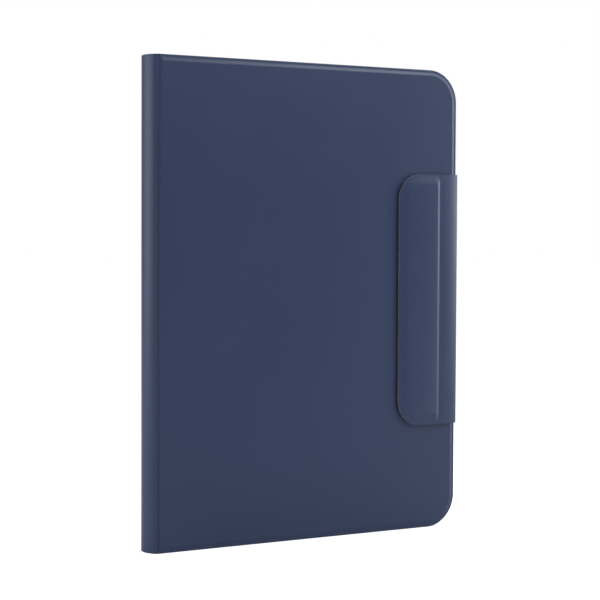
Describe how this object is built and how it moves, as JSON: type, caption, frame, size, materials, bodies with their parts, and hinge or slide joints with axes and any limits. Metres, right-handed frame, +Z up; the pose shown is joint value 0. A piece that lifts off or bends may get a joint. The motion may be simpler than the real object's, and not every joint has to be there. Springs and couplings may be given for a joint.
{
  "type": "tablet keyboard case",
  "caption": "Folio case for a tablet with a built-in keyboard, a curved spine, a rear stand fold, a moulded tray and a magnetic closure flap round the free edge.",
  "frame": {"origin": "centre of the closed case's bottom, on the surface that its lower edge stands on", "axes": "+Z up along the spine, +X from the spine towards the free edge with the closure flap, +Y from the front cover (which holds the keyboard) to the back cover"},
  "size_m": [0.1942, 0.0206, 0.256],
  "materials": {
    "cover_leather": "fine-grained coated leather, satin",
    "raw_edge": "undyed cut edge, matt",
    "cover_lining": "brushed microfibre",
    "cover_board": "stiff board",
    "spring_steel": "thin sheet",
    "magnet": "plated",
    "keyboard_shell": "fine moulded texture",
    "key_plastic": "satin",
    "dome_rubber": "translucent silicone",
    "bumper_rubber": "matt",
    "membrane_film": "clear film with printed tracks",
    "battery_foil": "foil pouch",
    "circuit_laminate": "solder mask",
    "port_metal": "drawn steel",
    "lens_plastic": "frosted clear",
    "touch_surface": "etched, smooth",
    "tray_plastic": "soft-touch moulded",
    "screw_steel": "black zinc"
  },
  "bodies": {
    "keyboard_half": {"front_cover_skin": "cover_leather", "front_cover_board": "cover_board", "front_cover_lining": "cover_lining", "closure_plate": "spring_steel", "stand_magnets": "magnet", "keyboard_lower_shell": "keyboard_shell", "keyboard_top_plate": "keyboard_shell", "key_support_plate": "spring_steel", "membrane_sheet": "membrane_film", "rubber_domes": "dome_rubber", "battery": "battery_foil", "circuit_board": "circuit_laminate", "charging_port": "port_metal", "status_lenses": "lens_plastic", "case_screws": "screw_steel", "screen_bumpers": "bumper_rubber"},
    "spine": {"spine_skin": "cover_leather", "spine_stiffener": "cover_board", "spine_lining": "cover_lining"},
    "rear_panel": {"rear_panel_skin": "cover_leather", "rear_panel_board": "cover_board", "rear_panel_lining": "cover_lining"},
    "tablet_half": {"back_cover_skin": "cover_leather", "back_cover_board": "cover_board", "back_cover_lining": "cover_lining", "camera_ring": "tray_plastic", "strap_root": "cover_leather", "tablet_tray": "tray_plastic"},
    "strap": {"strap_skin": "cover_leather", "strap_lining": "cover_lining"},
    "flap": {"flap_skin": "cover_leather", "flap_lining": "cover_lining", "flap_stiffener": "cover_board", "flap_magnets": "magnet"},
    "key_escape": {"key_escape": "key_plastic"},
    "function_keys": {"function_keys": "key_plastic"},
    "number_keys": {"number_keys": "key_plastic"},
    "key_backspace": {"key_backspace": "key_plastic"},
    "key_tab": {"key_tab": "key_plastic"},
    "upper_letter_keys": {"upper_letter_keys": "key_plastic"},
    "key_caps_lock": {"key_caps_lock": "key_plastic"},
    "home_letter_keys": {"home_letter_keys": "key_plastic"},
    "key_enter": {"key_enter": "key_plastic"},
    "key_left_shift": {"key_left_shift": "key_plastic"},
    "lower_letter_keys": {"lower_letter_keys": "key_plastic"},
    "key_right_shift": {"key_right_shift": "key_plastic"},
    "left_modifier_keys": {"left_modifier_keys": "key_plastic"},
    "space_bar": {"space_bar": "key_plastic"},
    "right_modifier_keys": {"right_modifier_keys": "key_plastic"},
    "arrow_left": {"arrow_left": "key_plastic"},
    "arrow_up": {"arrow_up": "key_plastic"},
    "arrow_down": {"arrow_down": "key_plastic"},
    "arrow_right": {"arrow_right": "key_plastic"},
    "trackpad": {"trackpad": "touch_surface"},
    "power_switch": {"power_switch": "key_plastic"},
    "power_button": {"power_button": "tray_plastic"},
    "volume_down_button": {"volume_down_button": "tray_plastic"},
    "volume_up_button": {"volume_up_button": "tray_plastic"}
  },
  "joints": [
    {"name": "spine_hinge", "type": "hinge", "parent": "keyboard_half", "child": "spine", "pos_m": [-0.09345, -0.00725, 0.128], "axis": [0, 0, 1], "range_deg": [0, 70]},
    {"name": "back_hinge", "type": "hinge", "parent": "spine", "child": "rear_panel", "pos_m": [-0.09345, 0.01025, 0.128], "axis": [0, 0, 1], "range_deg": [-46, 0]},
    {"name": "stand_fold", "type": "hinge", "parent": "rear_panel", "child": "tablet_half", "pos_m": [-0.07667, 0.01025, 0.128], "axis": [0, 0, 1], "range_deg": [0, 91]},
    {"name": "strap_hinge", "type": "hinge", "parent": "tablet_half", "child": "strap", "pos_m": [0.09595, 0.00925, 0.128], "axis": [0, 0, 1], "range_deg": [0, 90]},
    {"name": "flap_hinge", "type": "hinge", "parent": "strap", "child": "flap", "pos_m": [0.09595, -0.00775, 0.128], "axis": [0, 0, 1], "range_deg": [0, 90]},
    {"name": "key_escape_press", "type": "slide", "parent": "keyboard_half", "child": "key_escape", "axis": [0, -1, 0], "range_m": [0, 0.0012], "stiffness_N_per_m": 400},
    {"name": "function_keys_press", "type": "slide", "parent": "keyboard_half", "child": "function_keys", "axis": [0, -1, 0], "range_m": [0, 0.0012], "stiffness_N_per_m": 400},
    {"name": "number_keys_press", "type": "slide", "parent": "keyboard_half", "child": "number_keys", "axis": [0, -1, 0], "range_m": [0, 0.0012], "stiffness_N_per_m": 400},
    {"name": "key_backspace_press", "type": "slide", "parent": "keyboard_half", "child": "key_backspace", "axis": [0, -1, 0], "range_m": [0, 0.0012], "stiffness_N_per_m": 400},
    {"name": "key_tab_press", "type": "slide", "parent": "keyboard_half", "child": "key_tab", "axis": [0, -1, 0], "range_m": [0, 0.0012], "stiffness_N_per_m": 400},
    {"name": "upper_letter_keys_press", "type": "slide", "parent": "keyboard_half", "child": "upper_letter_keys", "axis": [0, -1, 0], "range_m": [0, 0.0012], "stiffness_N_per_m": 400},
    {"name": "key_caps_lock_press", "type": "slide", "parent": "keyboard_half", "child": "key_caps_lock", "axis": [0, -1, 0], "range_m": [0, 0.0012], "stiffness_N_per_m": 400},
    {"name": "home_letter_keys_press", "type": "slide", "parent": "keyboard_half", "child": "home_letter_keys", "axis": [0, -1, 0], "range_m": [0, 0.0012], "stiffness_N_per_m": 400},
    {"name": "key_enter_press", "type": "slide", "parent": "keyboard_half", "child": "key_enter", "axis": [0, -1, 0], "range_m": [0, 0.0012], "stiffness_N_per_m": 400},
    {"name": "key_left_shift_press", "type": "slide", "parent": "keyboard_half", "child": "key_left_shift", "axis": [0, -1, 0], "range_m": [0, 0.0012], "stiffness_N_per_m": 400},
    {"name": "lower_letter_keys_press", "type": "slide", "parent": "keyboard_half", "child": "lower_letter_keys", "axis": [0, -1, 0], "range_m": [0, 0.0012], "stiffness_N_per_m": 400},
    {"name": "key_right_shift_press", "type": "slide", "parent": "keyboard_half", "child": "key_right_shift", "axis": [0, -1, 0], "range_m": [0, 0.0012], "stiffness_N_per_m": 400},
    {"name": "left_modifier_keys_press", "type": "slide", "parent": "keyboard_half", "child": "left_modifier_keys", "axis": [0, -1, 0], "range_m": [0, 0.0012], "stiffness_N_per_m": 400},
    {"name": "space_bar_press", "type": "slide", "parent": "keyboard_half", "child": "space_bar", "axis": [0, -1, 0], "range_m": [0, 0.0012], "stiffness_N_per_m": 400},
    {"name": "right_modifier_keys_press", "type": "slide", "parent": "keyboard_half", "child": "right_modifier_keys", "axis": [0, -1, 0], "range_m": [0, 0.0012], "stiffness_N_per_m": 400},
    {"name": "arrow_left_press", "type": "slide", "parent": "keyboard_half", "child": "arrow_left", "axis": [0, -1, 0], "range_m": [0, 0.0012], "stiffness_N_per_m": 400},
    {"name": "arrow_up_press", "type": "slide", "parent": "keyboard_half", "child": "arrow_up", "axis": [0, -1, 0], "range_m": [0, 0.0012], "stiffness_N_per_m": 400},
    {"name": "arrow_down_press", "type": "slide", "parent": "keyboard_half", "child": "arrow_down", "axis": [0, -1, 0], "range_m": [0, 0.0012], "stiffness_N_per_m": 400},
    {"name": "arrow_right_press", "type": "slide", "parent": "keyboard_half", "child": "arrow_right", "axis": [0, -1, 0], "range_m": [0, 0.0012], "stiffness_N_per_m": 400},
    {"name": "trackpad_click", "type": "slide", "parent": "keyboard_half", "child": "trackpad", "axis": [0, -1, 0], "range_m": [0, 0.0004], "stiffness_N_per_m": 1500},
    {"name": "power_switch_slide", "type": "slide", "parent": "keyboard_half", "child": "power_switch", "axis": [1, 0, 0], "range_m": [0, 0.003]},
    {"name": "power_button_press", "type": "slide", "parent": "tablet_half", "child": "power_button", "axis": [0, 0, -1], "range_m": [0, 0.0004], "stiffness_N_per_m": 1500},
    {"name": "volume_down_button_press", "type": "slide", "parent": "tablet_half", "child": "volume_down_button", "axis": [-1, 0, 0], "range_m": [0, 0.0004], "stiffness_N_per_m": 1500},
    {"name": "volume_up_button_press", "type": "slide", "parent": "tablet_half", "child": "volume_up_button", "axis": [-1, 0, 0], "range_m": [0, 0.0004], "stiffness_N_per_m": 1500}
  ],
  "couplings": [
    {"joint": "back_hinge", "follows": "spine_hinge", "ratio": -0.65214},
    {"joint": "stand_fold", "follows": "spine_hinge", "ratio": 1.295}
  ]
}
